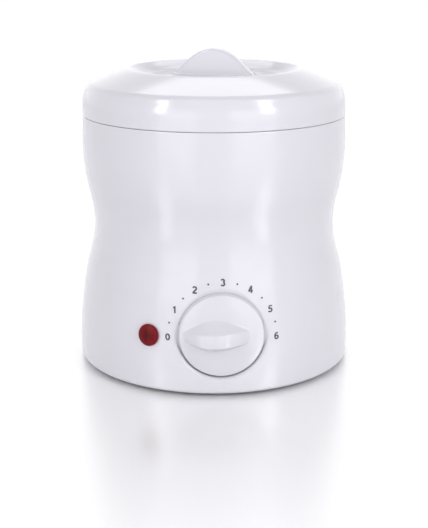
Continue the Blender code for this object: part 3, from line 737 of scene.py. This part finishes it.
def make_lid():
    """The turned lid and its grip as one skin, filleted where they meet, as last set down."""
    fillet, dish_radius, crease, lid_turn = 0.0016, 0.034, 0.3, math.radians(-17.6)
    maker = joined(spun(lid_outline(), closed=False), grip_fin())

    def on_dish_floor(point):
        x, y, z = point.co
        return abs(z - DISH_FLOOR) < 2e-5 and math.hypot(x, y) < dish_radius

    foot = [
        edge
        for edge in maker.edges
        if all(on_dish_floor(point) for point in edge.verts)
        and len(edge.link_faces) == 2
        and edge.calc_face_angle(0) > crease
    ]
    bmesh.ops.bevel(
        maker, geom=foot, offset=fillet, segments=5, profile=0.5, affect="EDGES", material=-1
    )
    turn = Matrix.Rotation(lid_turn, 3, "Z")
    bmesh.ops.rotate(maker, verts=maker.verts, cent=(0, 0, 0), matrix=turn)
    to_object(maker, "lid_shell", WHITE_GLOSS, "lid", "lid", 42)


make_lid()

# ---- Knob --------------------------------------------------------------------------------
# A round white push-on knob with a gently domed face and a half-moon finger bar that points at the
# numerals. At rest it points at 0. Behind the face it is hollow round its hub.
KNOB_FACE = 0.0219


def knob_height(x, z):
    """How far the front stands out of the back plane at (x, z), the bar eased into the face."""
    dome_top, dome_fall = 0.0056, 0.0026
    bar_middle, bar_reach, bar_foot, bar_rise, tail_rise = -0.0035, 0.0165, 0.0035, 0.0096, 0.0024
    half_land, narrowing, crown, ease = 0.0035, 0.0030, 0.00025, 0.0005
    dome = dome_top - dome_fall * (math.hypot(x, z) / KNOB_FACE) ** 3.4
    part = (x - bar_middle) / bar_reach
    crest = bar_foot + bar_rise * (1 - part * part) + tail_rise * max(0, part) ** 3
    land, lean = half_land, 0.80
    if z <= 0:
        taper = max(0, -part - 0.3) / 0.7
        land, lean = half_land - narrowing * min(taper, 1) ** 1.5, 0.55
    across = abs(z)
    bar = crest + crown * (1 - min(across / land, 1) ** 2) - max(0, across - land) / lean
    gap = max(ease - abs(bar - dome), 0) / ease
    return max(dome, bar) + gap * gap * ease * 0.25


def make_knob():
    """Rings from the face's edge to its middle, lifted to their height, then the skirt and hub."""
    sectors, rings = 224, 100
    maker = bmesh.new()
    bmesh.ops.create_circle(maker, cap_ends=False, segments=sectors, radius=KNOB_FACE)
    loop = maker.edges[:]
    for step in range(1, rings):
        share = 1 - step / rings

        def inward(point, share=share):
            return Vector((point.x, point.y, 0)).normalized() * KNOB_FACE * share

        loop = next_ring(maker, loop, inward)
    bmesh.ops.contextual_create(maker, geom=loop)
    for point in maker.verts:
        point.co.z = knob_height(point.co.x, point.co.y)
    loop = [edge for edge in maker.edges if edge.is_boundary]
    side = corner((0.0217, 0.0023), 0.0008, 55, 8, 4)
    side += [(0.02270, 0.0013), (0.02295, 0.0005), (0.0230, 0.0)]
    side += [(0.0218, 0.0), (0.0206, 0.0018), (0.0170, 0.0026), (0.0056, 0.0029), (0.0056, 0.0)]
    side += [(0.0034, 0.0), (0.0034, 0.0100)]
    for radius, depth in side:

        def outward(point, radius=radius, depth=depth):
            flat = Vector((point.x, point.y, 0)).normalized() * radius
            return Vector((flat.x, flat.y, depth))

        loop = next_ring(maker, loop, outward)
    bmesh.ops.contextual_create(maker, geom=loop)
    rest_turn = math.radians(-1.5)
    stand = Matrix.Rotation(rest_turn, 4, "Y") @ Matrix.Rotation(math.pi / 2, 4, "X")
    place = Matrix.Translation((0, KNOB_BACK, KNOB_HEIGHT))
    bmesh.ops.transform(maker, matrix=place @ stand, verts=maker.verts)
    to_object(maker, "knob_cap", WHITE_GLOSS, "knob", "knob", 32)


make_knob()

# ---- Neon lamp ---------------------------------------------------------------------------
# A 12 mm push-through indicator lamp: a low red acrylic lens with moulded ribs inside, held behind
# the wall by a push-on steel ring, with its neon capsule in a nylon sleeve.
LAMP_TURN = math.radians(-29.7)
LAMP_HEIGHT = 0.0323
STEEL = surface(
    "zinc_plate",
    (0.52, 0.53, 0.54),
    (0.66, 0.67, 0.68),
    (0.28, 0.46),
    metallic=1.0,
    cloud=260,
    grain=2600,
    bump=0.00001,
)
NYLON = surface(
    "natural_nylon",
    (0.74, 0.71, 0.62),
    (0.84, 0.81, 0.73),
    (0.40, 0.58),
    cloud=140,
    grain=1700,
    bump=0.00002,
)


def lamp_place():
    """The frame whose Z axis is the lamp's own, square to the wall at the lamp's middle."""
    step = 0.0005
    slope = (wall_radius(LAMP_HEIGHT + step) - wall_radius(LAMP_HEIGHT - step)) / (2 * step)
    radius = wall_radius(LAMP_HEIGHT)
    middle = Vector((radius * math.sin(LAMP_TURN), -radius * math.cos(LAMP_TURN), LAMP_HEIGHT))
    outward = Vector((math.sin(LAMP_TURN), -math.cos(LAMP_TURN), -slope)).normalized()
    return Matrix.Translation(middle) @ outward.to_track_quat("Z", "Y").to_matrix().to_4x4()


def lens_finish():
    """Deep red acrylic mottled by its ribs, with painted light: dark in the middle and brightening
    out to a painted bright red rim, for the light that the rim catches.
    """
    made = surface(
        "lamp_red",
        (0.014, 0.001, 0.0015),
        (0.16, 0.005, 0.008),
        (0.30, 0.42),
        cloud=420,
        grain=2600,
        bump=0.00001,
        specular=0.12,
    )
    nodes, links = made.node_tree.nodes, made.node_tree.links
    where = nodes["Texture Coordinate"]
    spot = nodes.new("ShaderNodeVectorMath")
    spot.operation = "DISTANCE"
    spot.inputs[1].default_value = lamp_place().translation
    ribs = nodes.new("ShaderNodeTexVoronoi")
    ribs.inputs["Scale"].default_value = 520.0
    ribs.inputs["Randomness"].default_value = 0.35
    # Painted highlight: this ramp lifts the tint towards bright red with distance from the lens's
    # middle, painting in the light that its rim catches.
    edge = nodes.new("ShaderNodeMapRange")
    edge.inputs["From Min"].default_value = 0.0022
    edge.inputs["From Max"].default_value = 0.0060
    rib_mottle_and_rim_highlight = nodes.new("ShaderNodeMath")
    rib_mottle_and_rim_highlight.operation = "MULTIPLY_ADD"
    rib_mottle_and_rim_highlight.inputs[1].default_value = 0.6
    links.new(where.outputs["Object"], spot.inputs[0])
    links.new(where.outputs["Object"], ribs.inputs["Vector"])
    links.new(spot.outputs["Value"], edge.inputs["Value"])
    links.new(ribs.outputs["Distance"], rib_mottle_and_rim_highlight.inputs[0])
    links.new(edge.outputs["Result"], rib_mottle_and_rim_highlight.inputs[2])
    tint = nodes["Mix"]
    links.new(rib_mottle_and_rim_highlight.outputs[0], tint.inputs["Factor"])
    return made


def make_lamp_lens():
    """The lens turned about its own axis: a barrel through the wall, a rim and a low dome."""
    dome_radius, dome_foot, dome_rise, steps = 0.00545, 0.00145, 0.00135, 14
    outline = [(0.0, -0.0088), (0.0039, -0.0088), (0.0040, -0.0086), (0.0040, 0.0005)]
    outline.append((0.0057, 0.0005))
    outline += corner((0.0057, 0.0008), 0.0003, 270, 360, 4) + [(0.0060, 0.0010)]
    outline += corner((0.0056, 0.0010), 0.0004, 10, 60, 4)
    for step in range(1, steps + 1):
        height = dome_foot + dome_rise * math.sin(math.pi / 2 * step / steps)
        outline.append((dome_radius - dome_radius * step / steps, height))
    maker = spun(outline, sides=96, closed=False)
    bmesh.ops.transform(maker, matrix=lamp_place(), verts=maker.verts)
    to_object(maker, "lamp_window", lens_finish(), "housing", "lamp_lens", 45)


make_lamp_lens()
finish_node("lamp_ring", STEEL)
finish_node("lamp_capsule", NYLON)

# ---- Inner pot and bail ------------------------------------------------------------------
# A drawn and spun aluminium pot with a rolled rim that lifts out of the well. Its wire bail
# swings in two steel ears riveted to the rim and folds back along it under the lid.


def turning_group():
    """Shared lathe marks: a streak value that changes in fine rings about Z."""
    found = bpy.data.node_groups.get("turning_marks")
    if found:
        return found
    group = bpy.data.node_groups.new("turning_marks", "ShaderNodeTree")
    group.interface.new_socket(name="Vector", in_out="INPUT", socket_type="NodeSocketVector")
    group.interface.new_socket(name="Pitch", in_out="INPUT", socket_type="NodeSocketFloat")
    group.interface.new_socket(name="Streak", in_out="OUTPUT", socket_type="NodeSocketFloat")
    nodes, links = group.nodes, group.links
    source = nodes.new("NodeGroupInput")
    result = nodes.new("NodeGroupOutput")
    split = nodes.new("ShaderNodeSeparateXYZ")
    flat = nodes.new("ShaderNodeCombineXYZ")
    reach = nodes.new("ShaderNodeVectorMath")
    reach.operation = "LENGTH"
    angle = nodes.new("ShaderNodeMath")
    angle.operation = "MULTIPLY"
    angle.inputs[1].default_value = 0.02
    ring = nodes.new("ShaderNodeCombineXYZ")
    noise = nodes.new("ShaderNodeTexNoise")
    noise.inputs["Detail"].default_value = 4.0
    links.new(source.outputs["Vector"], split.inputs["Vector"])
    links.new(split.outputs["X"], flat.inputs["X"])
    links.new(split.outputs["Y"], flat.inputs["Y"])
    links.new(flat.outputs["Vector"], reach.inputs[0])
    links.new(split.outputs["X"], angle.inputs[0])
    links.new(reach.outputs["Value"], ring.inputs["X"])
    links.new(split.outputs["Z"], ring.inputs["Y"])
    links.new(angle.outputs[0], ring.inputs["Z"])
    links.new(ring.outputs["Vector"], noise.inputs["Vector"])
    links.new(source.outputs["Pitch"], noise.inputs["Scale"])
    links.new(noise.outputs["Fac"], result.inputs["Streak"])
    return group


def turned_metal(name, low, high, rough, pitch, bump):
    """Spun metal: the plain finish with lathe rings over its roughness and relief."""
    made = surface(name, low, high, rough, metallic=1.0, cloud=60, grain=1200, bump=bump)
    nodes, links = made.node_tree.nodes, made.node_tree.links
    rings = nodes.new("ShaderNodeGroup")
    rings.node_tree = turning_group()
    rings.inputs["Pitch"].default_value = pitch
    links.new(nodes["Texture Coordinate"].outputs["Object"], rings.inputs["Vector"])
    links.new(rings.outputs["Streak"], nodes["Map Range"].inputs["Value"])
    links.new(rings.outputs["Streak"], nodes["Bump"].inputs["Height"])
    return made


POT_METAL = turned_metal(
    "spun_aluminium", (0.76, 0.765, 0.775), (0.83, 0.835, 0.84), (0.22, 0.38), 2600, 0.000012
)
WIRE = surface(
    "drawn_wire",
    (0.60, 0.60, 0.59),
    (0.72, 0.72, 0.70),
    (0.14, 0.28),
    metallic=1.0,
    cloud=500,
    grain=3500,
    bump=0.000006,
)


def make_pot():
    """The pot's section: flat bottom, rounded corner, straight wall, rolled rim and the inside."""
    outline = [(0.0, 0.0560), (0.0505, 0.0560)]
    outline += corner((0.0512, 0.0601), 0.0041, 275, 358, 8)
    outline += [(0.0553, height) for height in spaced(0.0625, 0.1375, 6)]
    outline += [(0.0556, 0.1384), (0.0563, 0.1389), (0.0600, 0.1389)]
    outline += corner((0.0600, 0.1403), 0.0013, 280, 440, 10)
    outline += [(0.0600, 0.1409), (0.0599, 0.1402), (0.0570, 0.1401)]
    outline += corner((0.0561, 0.1381), 0.0020, 95, 178, 6)
    outline += [(0.0541, height) for height in spaced(0.1370, 0.0622, 6)]
    outline += corner((0.0503, 0.0610), 0.0038, 0, -88, 8)
    outline += [(0.0480, 0.0572), (0.0300, 0.0572), (0.0, 0.0572)]
    maker = spun(outline, sides=160, closed=False)
    to_object(maker, "pot_shell", POT_METAL, "pot", "inner_pot", 40)


def make_bail():
    """A 2.5 mm wire: a stub through each ear, bent into the half ring that lies along the rim."""
    height, radius, wire, stub, bend = 0.1436, 0.0596, 0.00125, 0.0042, 0.0016
    ring_start = math.radians(1.6)
    inner = [Vector((radius - stub, 0, height)), Vector((radius - bend, 0, height))]
    route = inner + [
        Vector((radius * math.cos(angle), radius * math.sin(angle), height))
        for angle in spaced(ring_start, math.pi - ring_start, 61)
    ]
    route += [Vector((-place.x, 0, height)) for place in reversed(inner)]
    maker = bmesh.new()
    bmesh.ops.create_circle(maker, cap_ends=True, segments=20, radius=wire)

    def facing(here, ahead):
        return Matrix.Translation(here) @ ahead.to_track_quat("Z", "Y").to_matrix().to_4x4()

    previous = facing(route[0], route[1] - route[0])
    bmesh.ops.transform(maker, matrix=previous, verts=maker.verts)
    loop = [edge for edge in maker.edges if edge.is_boundary]
    for index in range(1, len(route)):
        ahead = route[min(index + 1, len(route) - 1)] - route[index - 1]
        section = facing(route[index], ahead)
        change = section @ previous.inverted()
        loop = next_ring(maker, loop, lambda point, change=change: change @ point)
        previous = section
    bmesh.ops.contextual_create(maker, geom=loop)
    to_object(maker, "bail_wire", WIRE, "bail", "pot_bail", 50)


make_pot()
make_bail()
for side in ("left", "right"):
    finish_node(f"bail_ear_{side}", STEEL)

# ---- Heating well ------------------------------------------------------------------------
# The fixed aluminium well that the pot stands in. Its flange lies on a silicone seal inside the
# housing's mouth, under four pan-head screws.
WELL_METAL = turned_metal(
    "pressed_aluminium", (0.68, 0.685, 0.69), (0.76, 0.765, 0.77), (0.30, 0.46), 1500, 0.000015
)
SEAL = surface(
    "seal_silicone", (0.42, 0.07, 0.04), (0.50, 0.09, 0.055), (0.45, 0.60), cloud=90, grain=1600
)


def make_well():
    """The well's section: bottom, outer wall, flange and its top, then back down the inside."""
    flange_under, flange_top, flange_edge = 0.1374, 0.1386, 0.0684
    outline = [(0.0, 0.0540), (0.0525, 0.0540)]
    outline += corner((0.0533, 0.0582), 0.0042, 275, 358, 8)
    outline += [(0.0575, height) for height in spaced(0.0600, flange_under, 6)]
    outline += [(0.0682, flange_under), (flange_edge, 0.1376), (flange_edge, 0.1384)]
    outline += [(0.0682, flange_top), (0.0600, flange_top)]
    outline += corner((0.0583, 0.1366), 0.0020, 92, 178, 6)
    outline += [(0.0563, height) for height in spaced(0.1350, 0.0605, 6)]
    outline += corner((0.0525, 0.0593), 0.0038, 0, -88, 8)
    outline += [(0.0300, 0.0555), (0.0, 0.0555)]
    maker = spun(outline, sides=160, closed=False)
    to_object(maker, "well_shell", WELL_METAL, "housing", "heating_well", 40)


make_well()
finish_node("well_gasket", SEAL)
for number in range(1, 5):
    finish_node(f"well_screw_{number}", STEEL)

# ---- Band heater -------------------------------------------------------------------------
# A mica band heater in a steel sheath, drawn tight round the well by a clamp and its screw, under
# a wrap of glass felt that keeps the heat off the housing.
MICA = surface(
    "mica_band",
    (0.36, 0.27, 0.17),
    (0.50, 0.40, 0.27),
    (0.35, 0.60),
    cloud=150,
    grain=1500,
    bump=0.00004,
)
FELT = surface(
    "glass_felt_wrap",
    (0.70, 0.68, 0.60),
    (0.84, 0.82, 0.75),
    (0.85, 0.98),
    cloud=120,
    grain=2200,
    bump=0.0002,
)

finish_node("band_heater", MICA)
finish_node("insulation_wrap", FELT)
for node in ("heater_clamp", "clamp_screw"):
    finish_node(node, STEEL)

# ---- Thermostat and its sensing line -----------------------------------------------------
# A capillary thermostat on a steel bracket behind the dial. Its flatted shaft carries the knob on a
# spring clip, and a copper capillary leads to the bulb clipped under the well beside the fuse.
PHENOLIC = surface(
    "thermostat_case",
    (0.62, 0.58, 0.50),
    (0.72, 0.68, 0.60),
    (0.40, 0.60),
    cloud=120,
    grain=1500,
    bump=0.00003,
)
COPPER = surface(
    "drawn_copper",
    (0.72, 0.33, 0.20),
    (0.86, 0.45, 0.30),
    (0.24, 0.42),
    metallic=1.0,
    cloud=300,
    grain=2600,
)
BRASS = surface(
    "rolled_brass",
    (0.66, 0.50, 0.22),
    (0.78, 0.61, 0.30),
    (0.22, 0.38),
    metallic=1.0,
    cloud=200,
    grain=2400,
)

finish_node("thermostat_body", PHENOLIC)
for number in (1, 2):
    finish_node(f"thermostat_screw_{number}", STEEL)
    finish_node(f"thermostat_tab_{number}", BRASS)
for node in ("thermostat_shaft", "thermostat_bracket", "knob_clip", "bulb_clip", "fuse_clip"):
    finish_node(node, STEEL)
for node in ("sensor_bulb", "capillary_tube"):
    finish_node(node, COPPER)

# ---- Wiring ------------------------------------------------------------------------------
# Silicone-covered leads from the inlet through a nylon terminal block to the thermostat, fuse and
# heater, in glass sleeving where they pass the hot well.
SLEEVE = surface(
    "glass_sleeving",
    (0.76, 0.74, 0.66),
    (0.88, 0.86, 0.80),
    (0.75, 0.92),
    cloud=800,
    grain=4200,
    bump=0.00008,
)
BROWN = surface(
    "brown_lead",
    (0.11, 0.045, 0.02),
    (0.16, 0.07, 0.035),
    (0.38, 0.55),
    cloud=200,
    grain=2600,
    bump=0.00001,
)
BLUE = surface(
    "blue_lead",
    (0.02, 0.07, 0.32),
    (0.035, 0.10, 0.42),
    (0.38, 0.55),
    cloud=200,
    grain=2600,
    bump=0.00001,
)
GREEN = surface(
    "earth_lead",
    (0.05, 0.30, 0.06),
    (0.62, 0.62, 0.08),
    (0.38, 0.55),
    cloud=260,
    grain=2600,
    bump=0.00001,
)

for node, finish in (
    ("terminal_block", NYLON),
    ("thermal_fuse", SLEEVE),
    ("wire_live_in", BROWN),
    ("wire_neutral_in", BLUE),
    ("wire_earth_in", GREEN),
    ("wire_to_thermostat", BROWN),
    ("wire_to_heater", SLEEVE),
    ("wire_from_heater", SLEEVE),
    ("lamp_lead", SLEEVE),
):
    finish_node(node, finish)

# ---- Mains inlet and base ----------------------------------------------------------------
# A black three-pin appliance inlet sits in the turret. The black bottom cover is moulded with vents
# round its middle and stands on four push-in rubber feet, with a screw between each pair.
BLACK = surface(
    "black_moulding",
    (0.022, 0.022, 0.024),
    (0.034, 0.034, 0.036),
    (0.34, 0.52),
    cloud=90,
    grain=900,
    bump=0.00004,
)
RUBBER = surface(
    "foot_rubber",
    (0.030, 0.030, 0.031),
    (0.050, 0.050, 0.050),
    (0.70, 0.88),
    cloud=200,
    grain=2200,
    bump=0.00005,
)

for line in ("live", "neutral", "earth"):
    finish_node(f"inlet_pin_{line}", BRASS)
for node in ("inlet_body", "bottom_cover"):
    finish_node(node, BLACK)
for number in range(1, 5):
    finish_node(f"foot_{number}", RUBBER)
    finish_node(f"cover_screw_{number}", STEEL)
